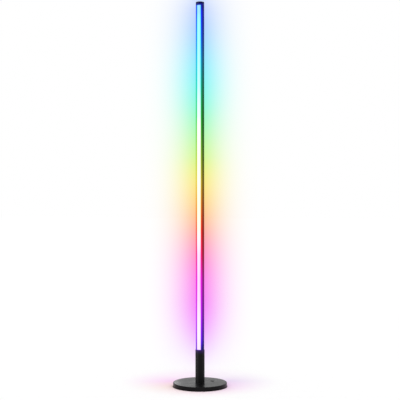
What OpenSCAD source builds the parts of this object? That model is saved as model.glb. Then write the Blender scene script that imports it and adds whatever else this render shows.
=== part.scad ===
// Corner floor lamp: a round weighted base, a short stem and one straight light pole.
// Millimetres. The origin is the centre of the base on the floor, +Z is up,
// the light faces -Y and the power inlet is at the rear, +Y.

/* [Whole lamp] */
// Height from the floor to the top of the end cap
lamp_h = 1425; // [1200:5:1600]
// Diameter of the base
base_d = 200; // [196:1:240]
// Height of the base's top above the floor
base_h = 15.3; // [15.3:0.1:18]

/* [Base] */
// Thickness of the floor pad
pad_t = 2; // [1.5:0.1:2]
// Distance of the floor pad inside the edge of the base
pad_inset = 3; // [2:0.5:6]
// Diameter of the hole in the middle of the floor pad
pad_hole_d = 60; // [40:1:100]
// Thickness of the bottom plate
plate_t = 1.2; // [1:0.1:1.2]
// Diameter of the bolt opening in the bottom plate
plate_hole_d = 22; // [20:1:30]
// Thickness of the pressed steel cover
cover_t = 1.5; // [1.2:0.1:1.6]
// Radius inside the cover's rounded top edge
cover_bend_r = 0.5; // [0.3:0.1:1]
// Gap between the cover's skirt and the bottom plate
plate_gap = 0.3; // [0.2:0.1:0.6]
// Gap between the cover's skirt and the base weight
weight_gap = 1; // [0.5:0.1:2]
// Chamfer round the top of the base weight
weight_chamfer = 1; // [0.5:0.1:2]
// Distance of the plate screws from the middle of the base
plate_screw_r = 80; // [76:1:85]

/* [Stem] */
// Height of the stem's top above the floor
stem_top = 136; // [134:1:160]
// Wall thickness of the stem
stem_wall = 1.5; // [1.5:0.1:2.5]
// Chamfer at the top of the stem
stem_chamfer = 0.8; // [0.4:0.1:1]
// Height of the threaded foot inside the stem
foot_h = 20; // [16:1:24]
// Nominal diameter of the stem bolt
bolt_d = 8; // [6:1:8]
// Depth that the bolt's head and washer are sunk in the base weight
bolt_recess = 7; // [6.9:0.1:7.2]
// Distance of the lead's hole behind the middle of the stem
wire_y = 11.5; // [11:0.1:11.6]

/* [Pole] */
// Outer diameter of the pole
pole_d = 31; // [30.6:0.2:34]
// Wall thickness of the pole
pole_wall = 1.6; // [1.4:0.1:1.7]
// Sliding clearance between the pole, the stem and the bars
slip = 0.2; // [0.1:0.05:0.25]
// Distance of the web's rear face in front of the pole's axis
web_back = 3; // [2.8:0.1:3.1]
// Thickness of the web that carries the light strip
web_t = 1.6; // [1.2:0.1:1.6]
// Length of the bars inside the pole's joints
joint_bar_l = 120; // [110:5:160]
// Height of the top end cap
cap_h = 12; // [8:0.5:16]
// Length of the end cap's tongue inside the pole
cap_tongue = 12; // [8:1:20]
// Chamfer round the end cap
cap_chamfer = 0.8; // [0.4:0.1:2]

/* [Light] */
// Half of the angle that the light cover spans round the pole
lens_half = 60; // [59:0.5:61]
// Thickness of the light cover
lens_t = 1.4; // [1.2:0.1:1.4]
// Length of the light cover that is hidden in the stem
lens_hidden = 10; // [4:1:12]
// Width of the light strip
strip_w = 12; // [10:1:12]
// Thickness of the light strip's flexible board
strip_t = 0.3; // [0.2:0.05:0.5]
// Side of one square light chip
chip_w = 5; // [4:0.5:5]
// Height of one light chip
chip_t = 1.6; // [1.2:0.1:1.8]
// Distance between the light chips
chip_pitch = 16.7; // [10:0.1:33]

/* [Button] */
// Place of the button to the right of the middle of the base
button_x = 37; // [36:0.5:40]
// Place of the button behind the middle of the base
button_y = 37; // [36:0.5:42]
// Diameter of the button's cap
button_d = 13; // [12:0.2:13]
// Clearance round the button's cap
button_gap = 0.3; // [0.2:0.05:0.4]
// Travel of the button
button_travel = 1; // [0.5:0.1:1]
// Height of the cap above its bezel
button_proud = 0.6; // [0.4:0.1:1]

/* [Power inlet] */
// Height of the inlet's axis above the floor
inlet_z = 8.5; // [8.2:0.1:8.6]
// Diameter of the inlet's barrel
inlet_bore_d = 6.3; // [6:0.1:6.4]
// Depth of the inlet's barrel
inlet_depth = 9.5; // [8:0.5:10]
// Diameter of the inlet's centre pin
inlet_pin_d = 2; // [1.9:0.05:2.1]
// Diameter of the lead between the strip and the board
led_lead_d = 3.6; // [3:0.1:3.6]
// Diameter of the lead between the inlet and the board
power_lead_d = 3; // [2.4:0.1:3.2]

/* [Hidden] */
$fn = 96;
over = 1;                                  // how far a cut runs past a face

// Base, from the floor up
base_r = base_d / 2;
plate_top = pad_t + plate_t;
cover_under = base_h - cover_t;
skirt_in_r = base_r - cover_t;
plate_r = skirt_in_r - plate_gap;
weight_r = skirt_in_r - weight_gap;
weight_h = cover_under - plate_top;
plate_screw_angles = [-90, 30, 150];
plate_thread_r = 2;
plate_screw_head_r = 3.4;
plate_screw_l = 9;

// Stem
pole_r = pole_d / 2;
stem_in_r = pole_r + slip;
stem_r = stem_in_r + stem_wall;
foot_top = base_h + foot_h;
bolt_r = bolt_d / 2;
bolt_hole_r = bolt_r + 0.5;
bolt_head_h = 5.3;
bolt_head_r = 7.5;
washer_r = 8;
washer_t = 1.6;
washer_gap = 0.2;
bolt_seat_z = plate_top + bolt_recess;
bolt_l = 23;
wire_hole_r = led_lead_d / 2 + 0.5;
foot_chamfer = 0.5;

// Grommet where the lead comes through the cover
grommet_r = wire_hole_r + 0.7;
grommet_flange_r = grommet_r + 1.2;
grommet_flange_t = 1.2;

// Pole
pole_in_r = pole_r - pole_wall;
pole_bottom = foot_top;
pole_top = lamp_h - cap_h;
pole_count = 3;                            // a lower, a middle and an upper length
pole_l = (pole_top - pole_bottom) / pole_count;
web_front = web_back + web_t;
notch_w = 9;
notch_h = 37;                              // window in the web for the lead
notch_top = foot_top + notch_h;
foot_bar_rise = 47;                        // leaves room for the lead under the bar
foot_bar_z = foot_top + foot_bar_rise;
foot_bar_top = stem_top - 2;
stem_screw_inset = 12;
stem_screw_zs = [foot_bar_z + stem_screw_inset, foot_bar_top - stem_screw_inset];
seam_offsets = [-45, -20, 20, 45];
screw_r = 2;                               // M4 thread
screw_hole_r = 2.2;
spot_depth = 0.4;                          // flat filed on the round wall under a head
stem_head_r = 3.8;
stem_head_h = 2.2;
joint_head_r = 3.4;
joint_head_h = 1.6;
head_gap = 0.2;
tap_y = 3;                                 // how near the axis the tapped holes end

// Rib on the pole and hook on the light cover that hold each other
rib_in_r = pole_in_r - 1;
rib_span = 5;
lens_r = pole_r;
lens_in_r = lens_r - lens_t;
edge_gap_a = 0.6;                          // angle left free at each edge of the light cover
hook_gap = 0.2;
hook_t = 1;
leg_gap_a = 1.5;                           // between the leg and the pole's edge
leg_span = 4;
hook_reach = 4;                            // how far the hook goes behind the rib
leg_outer_a = lens_half - leg_gap_a;
leg_inner_a = leg_outer_a - leg_span;
hook_end_a = lens_half + hook_reach;
lens_bottom = stem_top - lens_hidden;

// Light strip and its plug
strip_y = -web_front - strip_t;            // front face of the flexible board
strip_rise = 51;                           // from the stem's foot to the lower end of the strip
strip_bottom = foot_top + strip_rise;
strip_end_gap = 8;
strip_top = pole_top - strip_end_gap;
chip_end_gap = 4;
chip_first = stem_top + chip_end_gap;
chip_count = floor((strip_top - chip_w - chip_first) / chip_pitch) + 1;
socket_size = [10, 5, 12];
socket_inset = 2;
socket_z = strip_bottom + socket_inset;
socket_wall = 1.2;
plug_h = 9;
plug_gap = 0.2;
nose_l = 6;
plug_z = socket_z - plug_gap - plug_h;
plug_y = strip_y - socket_size[1] / 2;

// Control board: rests on spacers on the bottom plate
board_x0 = -14;
board_x1 = button_x + 13;                  // the board reaches past the switch
board_y0 = 26;
board_y1 = 60;
board_t = 1.6;
spacer_h = 2;
spacer_r = 3;
board_z = plate_top + spacer_h;
board_top = board_z + board_t;
board_inset = 3.5;
board_holes = [for (x = [board_x0 + board_inset, board_x1 - board_inset])
               for (y = [board_y0 + board_inset, board_y1 - board_inset]) [x, y]];
board_thread_r = 1.5;
board_head_r = 2.75;
board_head_h = 1.8;
pocket_gap = 2;
header_size = [8, 6, 5];
chip_place = [18, board_y0 + 18];
regulator_place = [-8, board_y0 + 16];
choke_place = [23, board_y1 - 6];
can_place = [12, board_y1 - 6];            // round capacitor
can_r = 3.2;
can_h = 5.5;
resistor_place = [9, board_y0 + 8];
resistor_step = 3;
resistor_count = 6;
header_z = board_top + 1.9;                // height of the lead's axis where it meets a header

// Button and its switch
switch_w = 12;
switch_wall = 0.6;
switch_cavity_r = 3;
plunger_r = 1.75;
plunger_gap = 0.25;
plunger_collar_r = 2.7;
plunger_collar_t = 0.6;
collar_gap = 0.2;                          // above the collar at rest, and below it when pressed
switch_h = 2 * (switch_wall + collar_gap) + plunger_collar_t + button_travel;
switch_top = board_top + switch_h;
button_r = button_d / 2;
bezel_in_r = button_r + button_gap;
bezel_neck_r = bezel_in_r + 0.6;
bezel_r = bezel_neck_r + 0.6;
bezel_t = 0.6;
bezel_top = base_h + bezel_t;
button_top = bezel_top + button_proud;
cap_flange_r = bezel_neck_r - 0.2;
cap_flange_t = 1;
cap_flange_top = cover_under - 0.3;
cap_flange_z = cap_flange_top - cap_flange_t;
cap_roof_t = 1.7;
cap_roof_z = button_top - cap_roof_t;
cap_cavity_r = button_r - 1.5;
button_chamfer = 0.4;

// Power inlet
inlet_w = 9;
inlet_nose_r = 4;
notch_gap = 0.2;
inlet_l = 13;
inlet_face = skirt_in_r - 1.5;             // where the inlet's body ends and its nose begins
inlet_back = inlet_face - inlet_l;
inlet_mouth = base_r - 0.4;
inlet_floor_y = inlet_mouth - inlet_depth;
pin_root_y = inlet_floor_y - 3;
pin_root_r = inlet_pin_d / 2 + 0.4;
pin_tip_y = inlet_mouth - 1;
inlet_channel_w = 13;

// Routes of the two leads, in the plane x = 0
strip_route = [[0, plug_y, plug_z], [0, plug_y, plug_z - 8], [0, plug_y + 0.7, plug_z - 12],
               [0, -4.6, foot_top + 28], [0, -1.4, foot_top + 25.5], [0, 3.6, foot_top + 22.8],
               [0, 7.6, foot_top + 20], [0, wire_y - 1.1, foot_top + 16.3],
               [0, wire_y, foot_top + 11.5], [0, wire_y, base_h - 3], [0, wire_y + 0.5, base_h - 4.4],
               [0, wire_y + 1.8, base_h - 5.7], [0, wire_y + 3.7, header_z + 0.2],
               [0, wire_y + 6, header_z], [0, board_y0, header_z]];
power_route = [[0, inlet_back, inlet_z], [0, inlet_back - 2, inlet_z], [0, inlet_back - 5, inlet_z - 0.5],
               [0, inlet_back - 10, inlet_z - 1.5], [0, board_y1 + 9, inlet_z - 1.5],
               [0, board_y1 + 5, header_z - 0.7], [0, board_y1 + 2, header_z], [0, board_y1, header_z]];
lead_sides = 10;

// A cylinder that runs rearward from height z, between two distances behind the axis
module rear_rod(r, y0, y1, z, x = 0)
  translate([x, y0, z]) rotate([-90, 0, 0]) cylinder(h = y1 - y0, r = r);

// An upright cylinder with its own foot height
module post(r, z0, z1, x = 0, y = 0)
  translate([x, y, z0]) cylinder(h = z1 - z0, r = r);

// A disc whose top edge has a chamfer
module chamfered_disc(r, z0, z1, c)
  rotate_extrude()
    polygon([[0, z0], [r, z0], [r, z1 - c], [r - c, z1], [0, z1]]);

// Half profile of a disc with a rounded top edge
module rounded_disc_2d(r, z0, z1, edge) {
  translate([0, z0]) square([r - edge, z1 - z0]);
  translate([0, z0]) square([r, z1 - edge - z0]);
  translate([r - edge, z1 - edge]) circle(r = edge);
}

// The wedge of the plane between two angles, both counted from the front
module wedge_2d(a0, a1, far = 60)
  polygon([[0, 0], [far * sin(a0), -far * cos(a0)],
           [far * sin((a0 + a1) / 2), -far * cos((a0 + a1) / 2)] * 2, [far * sin(a1), -far * cos(a1)]]);

// A piece of a ring between two radii and two angles from the front
module ring_piece_2d(r0, r1, a0, a1)
  intersection() {
    difference() {
      circle(r = r1);
      circle(r = r0);
    }
    wedge_2d(a0, a1);
  }

// Direction of a route at one of its points
function route_dir(p, i) = let (d = p[min(i + 1, len(p) - 1)] - p[max(i - 1, 0)]) d / norm(d);

// One ring of a lead round a point of its route
function route_ring(p, i, r, n) =
  let (side = cross(route_dir(p, i), [1, 0, 0]))
  [for (k = [0 : n - 1]) p[i] + r * cos(360 * k / n) * [1, 0, 0] + r * sin(360 * k / n) * side];

// A lead: one tube along its route
module lead(p, r, n) {
  last = len(p) - 1;
  points = [for (i = [0 : last]) each route_ring(p, i, r, n)];
  walls = [for (i = [0 : last - 1]) for (k = [0 : n - 1])
           [i * n + k, (i + 1) * n + k, (i + 1) * n + (k + 1) % n, i * n + (k + 1) % n]];
  first_end = [for (k = [0 : n - 1]) k];
  last_end = [for (k = [n - 1 : -1 : 0]) last * n + k];
  polyhedron(points, concat(walls, [first_end, last_end]), convexity = 6);
}

// Soft ring that the lamp stands on
module floor_pad() color("#1c1c1e")
  difference() {
    post(base_r - pad_inset, 0, pad_t);
    post(pad_hole_d / 2, -over, pad_t + over);
  }

// The places of the screws that hold the bottom plate
module at_plate_screws()
  for (a = plate_screw_angles) rotate(a) translate([plate_screw_r, 0, 0]) children();

// Countersunk head: widest at the lower face of the bottom plate
module plate_screw_head()
  translate([0, 0, pad_t]) cylinder(h = plate_t, r1 = plate_screw_head_r, r2 = plate_screw_head_r - plate_t);

// Thin steel disc that closes the base from below
module bottom_plate() color("#2a2b2d")
  difference() {
    post(plate_r, pad_t, plate_top);
    post(plate_hole_d / 2, pad_t - over, plate_top + over);
    at_plate_screws() plate_screw_head();
    for (p = board_holes) post(board_thread_r, pad_t - over, plate_top + over, p[0], p[1]);
  }

module plate_screws() color("#8f9194")
  at_plate_screws() {
    plate_screw_head();
    post(plate_thread_r, plate_top - plate_t / 2, plate_top + plate_screw_l);
  }

// Cast iron disc, with a pocket for the electronics and channels for the two leads
module base_weight() color("#3b3c3e")
  difference() {
    chamfered_disc(weight_r, plate_top, cover_under, weight_chamfer);
    post(washer_r + washer_gap, plate_top - over, bolt_seat_z);
    post(bolt_hole_r, plate_top, cover_under + over);
    at_plate_screws() post(plate_thread_r, plate_top - over, plate_top + plate_screw_l + 0.5);
    translate([board_x0 - pocket_gap, board_y0 - pocket_gap, plate_top - over])
      cube([board_x1 - board_x0 + 2 * pocket_gap, board_y1 - board_y0 + 2 * pocket_gap, weight_h + 2 * over]);
    translate([-inlet_channel_w / 2, board_y1, plate_top - over])
      cube([inlet_channel_w, base_r, weight_h + 2 * over]);
    translate([-wire_hole_r, wire_y, plate_top - over])
      cube([2 * wire_hole_r, board_y0 - wire_y, weight_h + 2 * over]);
    post(wire_hole_r, plate_top - over, cover_under + over, 0, wire_y);
    post(grommet_flange_r + 0.2, cover_under - grommet_flange_t - 0.2, cover_under + over, 0, wire_y);
  }

// Pressed steel cover with a rounded top edge and a notch at the rear for the inlet
module base_cover() color("#141415")
  difference() {
    rotate_extrude() rounded_disc_2d(base_r, pad_t, base_h, cover_t + cover_bend_r);
    rotate_extrude() rounded_disc_2d(skirt_in_r, pad_t - over, cover_under, cover_bend_r);
    post(bolt_hole_r, cover_under - over, base_h + over);
    post(grommet_r, cover_under - over, base_h + over, 0, wire_y);
    post(bezel_neck_r, cover_under - over, base_h + over, button_x, button_y);
    rear_rod(inlet_nose_r + notch_gap, skirt_in_r - over, base_r + over, inlet_z);
    translate([-inlet_nose_r - notch_gap, skirt_in_r - over, pad_t - over])
      cube([2 * (inlet_nose_r + notch_gap), cover_t + 2 * over, inlet_z - pad_t + over]);
  }

// Plastic bush that keeps the lead off the cover's sharp edge
module cover_grommet() color("#202022")
  difference() {
    union() {
      post(grommet_r, cover_under - grommet_flange_t, base_h, 0, wire_y);
      post(grommet_flange_r, cover_under - grommet_flange_t, cover_under, 0, wire_y);
    }
    post(wire_hole_r, cover_under - grommet_flange_t - over, base_h + over, 0, wire_y);
  }

// Short steel tube that stands on the cover and holds the pole
module stem_tube() color("#151516")
  difference() {
    rotate_extrude()
      polygon([[stem_in_r, base_h], [stem_r, base_h], [stem_r, stem_top - stem_chamfer],
               [stem_r - stem_chamfer, stem_top], [stem_in_r, stem_top]]);
    for (z = stem_screw_zs) {
      rear_rod(screw_hole_r, 0, stem_r + over, z);
      rear_rod(stem_head_r + head_gap, stem_r - spot_depth, stem_r + over, z);
    }
  }

// Threaded steel plug welded in the foot of the stem
module stem_foot() color("#6f7174")
  difference() {
    chamfered_disc(stem_in_r, base_h, foot_top, foot_chamfer);
    post(bolt_r, base_h - over, foot_top + over);
    post(wire_hole_r, base_h - over, foot_top + over, 0, wire_y);
  }

// Hexagon bolt from below, through the weight and the cover into the stem's foot
module stem_bolt() color("#9a9c9f") {
  head_z = bolt_seat_z - washer_t - bolt_head_h;
  translate([0, 0, head_z]) cylinder(h = bolt_head_h, r = bolt_head_r, $fn = 6);
  post(bolt_r, head_z + bolt_head_h / 2, bolt_seat_z + bolt_l);
}

module stem_washer() color("#a5a7a9")
  difference() {
    post(washer_r, bolt_seat_z - washer_t, bolt_seat_z);
    post(bolt_r, bolt_seat_z - washer_t - over, bolt_seat_z + over);
  }

// Outline of the solid bars that fill the pole's rear chamber
module chamber_bar_2d()
  difference() {
    circle(r = pole_in_r - slip);
    translate([-pole_r, -web_back + slip - pole_d]) square([pole_d, pole_d]);
  }

// A bar in the rear chamber, tapped from the rear at each height in the list
module chamber_bar(z0, z1, taps)
  difference() {
    translate([0, 0, z0]) linear_extrude(height = z1 - z0) chamber_bar_2d();
    for (z = taps) rear_rod(screw_r, tap_y, pole_r + over, z);
  }

// A button-head screw from the rear, with its head on a seat behind the axis
module rear_screw(z, seat_y, head_r, head_h) {
  rear_rod(screw_r, tap_y + 0.5, seat_y + head_h / 2, z);
  rear_rod(head_r, seat_y, seat_y + head_h, z);
}

module foot_bar() color("#8d8f91") chamber_bar(foot_bar_z, foot_bar_top, stem_screw_zs);

module stem_screws() color("#1b1b1d")
  for (z = stem_screw_zs) rear_screw(z, stem_r - spot_depth, stem_head_r, stem_head_h);

// Section of the pole: a round wall open to the front, a flat web, and a rib at each edge
module pole_2d() {
  ring_piece_2d(pole_in_r, pole_r, lens_half, 180);
  ring_piece_2d(pole_in_r, pole_r, 180, 360 - lens_half);
  for (side = [-1, 1])
    ring_piece_2d(rib_in_r, pole_in_r + pole_wall / 2, side * lens_half, side * (lens_half + rib_span));
  intersection() {
    circle(r = pole_in_r + pole_wall / 2);
    translate([-pole_r, -web_front]) square([pole_d, web_t]);
  }
}

// Height of the seam above one length of the pole
function seam_z(i) = pole_bottom + (i + 1) * pole_l;

// Heights of the four screws round a seam
function seam_taps(i) = [for (d = seam_offsets) seam_z(i) + d];

// Clearance hole and flat seat for a screw in the pole's rear wall
module pole_screw_hole(z) {
  rear_rod(screw_hole_r, web_back, pole_r + over, z);
  rear_rod(joint_head_r + head_gap, pole_r - spot_depth, pole_r + over, z);
}

// One length of the pole, counted from the bottom
module pole_length(i)
  difference() {
    translate([0, 0, pole_bottom + i * pole_l]) linear_extrude(height = pole_l) pole_2d();
    if (i > 0) for (z = seam_taps(i - 1)) pole_screw_hole(z);
    if (i < pole_count - 1) for (z = seam_taps(i)) pole_screw_hole(z);
    if (i == 0) {
      for (z = stem_screw_zs) rear_rod(screw_hole_r, web_back, pole_r + over, z);
      translate([-notch_w / 2, -web_front - over, pole_bottom - over])
        cube([notch_w, web_t + 2 * over, notch_top - pole_bottom + over]);
    }
  }

module pole_lower() color("#101011") pole_length(0);
module pole_middle() color("#101011") pole_length(1);
module pole_upper() color("#101011") pole_length(2);

// A bar that joins two lengths of the pole
module joint_bar(i)
  chamber_bar(seam_z(i) - joint_bar_l / 2, seam_z(i) + joint_bar_l / 2, seam_taps(i));

module joint_bar_lower() color("#8d8f91") joint_bar(0);
module joint_bar_upper() color("#8d8f91") joint_bar(1);

module joint_screws() color("#1b1b1d")
  for (i = [0 : pole_count - 2]) for (z = seam_taps(i))
    rear_screw(z, pole_r - spot_depth, joint_head_r, joint_head_h);

// Opal cover of the light: a curved front and a hook behind each rib of the pole
module light_cover() color("#f2f0f4")
  translate([0, 0, lens_bottom]) linear_extrude(height = pole_top - lens_bottom) {
    ring_piece_2d(lens_in_r, lens_r, -lens_half + edge_gap_a, lens_half - edge_gap_a);
    for (side = [-1, 1]) {
      hook_r = rib_in_r - hook_gap;
      ring_piece_2d(hook_r - hook_t, lens_in_r + lens_t / 2, side * leg_inner_a, side * leg_outer_a);
      ring_piece_2d(hook_r - hook_t, hook_r, side * leg_inner_a, side * hook_end_a);
    }
  }

// Flexible board stuck on the front of the web
module led_board() color("#e9eaec")
  translate([-strip_w / 2, strip_y, strip_bottom]) cube([strip_w, strip_t, strip_top - strip_bottom]);

module led_chips() color("#fbfbf4")
  for (i = [0 : chip_count - 1])
    translate([-chip_w / 2, strip_y - chip_t, chip_first + i * chip_pitch]) cube([chip_w, chip_t, chip_w]);

// Socket at the lower end of the light strip, open downward
module led_socket() color("#e6e3da")
  difference() {
    translate([-socket_size[0] / 2, strip_y - socket_size[1], socket_z]) cube(socket_size);
    translate([-socket_size[0] / 2 + socket_wall, strip_y - socket_size[1] + socket_wall, socket_z - over])
      cube([socket_size[0] - 2 * socket_wall, socket_size[1] - 2 * socket_wall, nose_l + 1 + over]);
  }

// Plug on the strip's lead: its nose goes up into the socket
module led_plug() color("#dcd8cd") {
  nose_w = socket_size[0] - 2 * (socket_wall + plug_gap);
  nose_d = socket_size[1] - 2 * (socket_wall + plug_gap);
  translate([-socket_size[0] / 2 + plug_gap, plug_y - socket_size[1] / 2 + plug_gap, plug_z])
    cube([socket_size[0] - 2 * plug_gap, socket_size[1] - 2 * plug_gap, plug_h]);
  translate([-nose_w / 2, plug_y - nose_d / 2, plug_z + plug_h / 2])
    cube([nose_w, nose_d, plug_h / 2 + plug_gap + nose_l]);
}

module led_lead() color("#262628") lead(strip_route, led_lead_d / 2, lead_sides);

// Plastic cap that closes the pole, with a tongue in the rear chamber
module end_cap() color("#0d0d10") {
  chamfered_disc(pole_r, pole_top, lamp_h, cap_chamfer);
  translate([0, 0, pole_top - cap_tongue]) linear_extrude(height = cap_tongue + cap_h / 2) chamber_bar_2d();
}

// Circuit board that drives the light
module control_board() color("#1f5a35")
  difference() {
    translate([board_x0, board_y0, board_z]) cube([board_x1 - board_x0, board_y1 - board_y0, board_t]);
    for (p = board_holes) post(board_thread_r, board_z - over, board_top + over, p[0], p[1]);
  }

// A box that stands on the control board, centred on a place
module board_box(x, y, size)
  translate([x - size[0] / 2, y - size[1] / 2, board_top]) cube(size);

module board_components() color("#2c2c30") {
  for (y = [board_y0 + header_size[1] / 2, board_y1 - header_size[1] / 2]) board_box(0, y, header_size);
  board_box(chip_place[0], chip_place[1], [7, 7, 1]);
  board_box(regulator_place[0], regulator_place[1], [5, 6, 1.5]);
  board_box(choke_place[0], choke_place[1], [6, 6, 3]);
  post(can_r, board_top, board_top + can_h, can_place[0], can_place[1]);
  for (i = [0 : resistor_count - 1])
    board_box(resistor_place[0] + i * resistor_step, resistor_place[1], [1.6, 0.8, 0.5]);
}

module board_spacers() color("#b9bbbd")
  for (p = board_holes) difference() {
    post(spacer_r, plate_top, board_z, p[0], p[1]);
    post(board_thread_r, plate_top - over, board_z + over, p[0], p[1]);
  }

module board_screws() color("#a9abad")
  for (p = board_holes) {
    post(board_thread_r, pad_t, board_top + board_head_h / 2, p[0], p[1]);
    post(board_head_r, board_top, board_top + board_head_h, p[0], p[1]);
  }

// Body of the push switch, with a hole for the plunger
module switch_housing() color("#1a1a1c")
  difference() {
    board_box(button_x, button_y, [switch_w, switch_w, switch_h]);
    post(switch_cavity_r, board_top + switch_wall, switch_top - switch_wall, button_x, button_y);
    post(plunger_r + plunger_gap, switch_top - switch_wall - over, switch_top + over, button_x, button_y);
  }

// Moving pin of the switch: its collar keeps it in the housing
module switch_plunger() color("#d8d4c4") {
  collar_top = switch_top - switch_wall - collar_gap;
  post(plunger_collar_r, collar_top - plunger_collar_t, collar_top, button_x, button_y);
  post(plunger_r, collar_top - plunger_collar_t, cap_roof_z, button_x, button_y);
}

// The button: a hollow cap with a flange that stays under the bezel
module button_cap() color("#1d1d20")
  difference() {
    union() {
      translate([button_x, button_y, 0]) chamfered_disc(button_r, cap_flange_z, button_top, button_chamfer);
      post(cap_flange_r, cap_flange_z, cap_flange_top, button_x, button_y);
    }
    post(cap_cavity_r, cap_flange_z - over, cap_roof_z, button_x, button_y);
  }

// Thin ring that lines the hole for the button
module button_bezel() color("#0f0f11")
  difference() {
    union() {
      post(bezel_neck_r, cover_under, base_h + bezel_t / 2, button_x, button_y);
      post(bezel_r, base_h, bezel_top, button_x, button_y);
    }
    post(bezel_in_r, cover_under - over, bezel_top + over, button_x, button_y);
  }

// Barrel inlet for a low-voltage plug, held between the bottom plate and the cover
module dc_inlet() color("#18181a")
  difference() {
    union() {
      translate([-inlet_w / 2, inlet_back, plate_top])
        cube([inlet_w, inlet_face - inlet_back, weight_h]);
      rear_rod(inlet_nose_r, inlet_face - over, inlet_mouth, inlet_z);
      translate([-inlet_nose_r, inlet_face - over, plate_top])
        cube([2 * inlet_nose_r, inlet_mouth - inlet_face + over, inlet_z - plate_top]);
    }
    rear_rod(inlet_bore_d / 2, inlet_floor_y, inlet_mouth + over, inlet_z);
    rear_rod(pin_root_r, pin_root_y, inlet_floor_y + over, inlet_z);
  }

// Centre pin of the inlet, with a thicker root set in the inlet's back wall
module dc_pin() color("#c9b06a") {
  rear_rod(pin_root_r, pin_root_y, inlet_floor_y, inlet_z);
  rear_rod(inlet_pin_d / 2, inlet_floor_y - over, pin_tip_y, inlet_z);
}

module power_lead() color("#262628") lead(power_route, power_lead_d / 2, lead_sides);

floor_pad();
bottom_plate();
plate_screws();
base_weight();
base_cover();
stem_tube();
stem_foot();
stem_bolt();
stem_washer();
foot_bar();
stem_screws();
pole_lower();
pole_middle();
pole_upper();
joint_bar_lower();
joint_bar_upper();
joint_screws();
light_cover();
led_board();
led_chips();
led_socket();
led_plug();
led_lead();
cover_grommet();
end_cap();
control_board();
board_components();
board_spacers();
board_screws();
switch_housing();
switch_plunger();
button_cap();
button_bezel();
dc_inlet();
dc_pin();
power_lead();
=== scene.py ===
# %% [markdown]
# # A corner floor lamp, dressed for its portrait
# The lamp is a round weighted base, a short stem and one slim black pole whose front is an
# opal light strip. Its solids come ready-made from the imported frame, at their real size.
# This script gives every piece its finish. It also remakes the few small pieces that need
# more shape than a plain solid has: the socket screws, the bolt under the stem, the button
# and the bezel round it.

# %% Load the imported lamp
import math

import bpy
from mathutils import Matrix, Vector


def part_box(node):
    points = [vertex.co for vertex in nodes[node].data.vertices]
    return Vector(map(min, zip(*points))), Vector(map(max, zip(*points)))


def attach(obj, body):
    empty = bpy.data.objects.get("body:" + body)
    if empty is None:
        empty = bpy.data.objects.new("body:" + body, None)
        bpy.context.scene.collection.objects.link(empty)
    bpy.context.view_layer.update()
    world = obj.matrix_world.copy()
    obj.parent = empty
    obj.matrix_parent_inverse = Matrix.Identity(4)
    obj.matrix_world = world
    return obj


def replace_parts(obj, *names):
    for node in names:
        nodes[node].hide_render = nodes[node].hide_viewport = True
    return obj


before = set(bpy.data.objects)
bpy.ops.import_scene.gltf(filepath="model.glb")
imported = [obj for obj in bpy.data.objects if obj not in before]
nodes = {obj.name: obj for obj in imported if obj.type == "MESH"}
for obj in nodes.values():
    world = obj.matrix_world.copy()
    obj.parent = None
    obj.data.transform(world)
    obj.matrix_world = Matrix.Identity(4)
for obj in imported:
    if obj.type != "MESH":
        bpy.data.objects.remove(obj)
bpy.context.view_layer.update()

# %% [markdown]
# ## The camera
# The photograph is level: the horizon runs through its middle, and the pole stays upright
# from foot to tip. So the camera looks straight ahead from about half the pole's height, and
# a long lens keeps the pole's two edges parallel. The light faces -Y in the frame, and in the
# photograph it is turned a little to the left, so the camera stands a little to the right.

# %% Place the camera
CAMERA_TURN = math.radians(18)
CAMERA_AWAY = 3.47
CAMERA_HEIGHT = 0.691
LENS_MM = 84.15

camera = bpy.data.objects.new("camera", bpy.data.cameras.new("camera"))
camera.data.lens = LENS_MM
camera.location = (
    CAMERA_AWAY * math.sin(CAMERA_TURN),
    -CAMERA_AWAY * math.cos(CAMERA_TURN),
    CAMERA_HEIGHT,
)
camera.rotation_euler = (math.radians(90), 0, CAMERA_TURN)
bpy.context.scene.collection.objects.link(camera)
bpy.context.scene.camera = camera
bpy.context.scene.view_settings.view_transform = "Standard"
print("camera at", [round(v, 3) for v in camera.location])

# %% [markdown]
# ## Shader nodes in plain words
# Every finish below is a small tree of shader nodes. Three helpers keep those trees short:
# one adds a node and fills in its inputs, one feeds an input from another node or with a
# plain value, and one does sums.


# %% Helpers for shader trees
def add_node(tree, kind, **inputs):
    """Adds a shader node and fills in its inputs by name, with _ for a space."""
    node = tree.nodes.new("ShaderNode" + kind)
    for name, value in inputs.items():
        node.inputs[name.replace("_", " ")].default_value = value
    return node


def join(tree, source, target):
    """Feeds an input from a socket, or fills it with a number or with three for a colour."""
    if isinstance(source, tuple):
        target.default_value = (*source, 1)
    elif isinstance(source, (int, float)):
        target.default_value = source
    else:
        tree.links.new(source, target)


def sums(tree, operation, first, second=0.0):
    """A Math node on two sockets or numbers."""
    node = add_node(tree, "Math")
    node.operation = operation
    join(tree, first, node.inputs[0])
    join(tree, second, node.inputs[1])
    return node.outputs[0]


# %% [markdown]
# ## The studio
# A seamless white studio has no horizon. The room shows as pure white to the camera, and
# to glossy surfaces too, so that black paint mirrors a white room. The room's even light
# does all the plain lighting. Three softboxes are there for their reflections alone. Two tall
# ones draw soft lines down the tubes. A flat black disc would mirror them as a white glare,
# so light linking keeps them off the base. A low dim one brightens the base's left side.

# %% The white room
ROOM_LIGHT = 1.0
WHITE = (1, 1, 1, 1)


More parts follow.
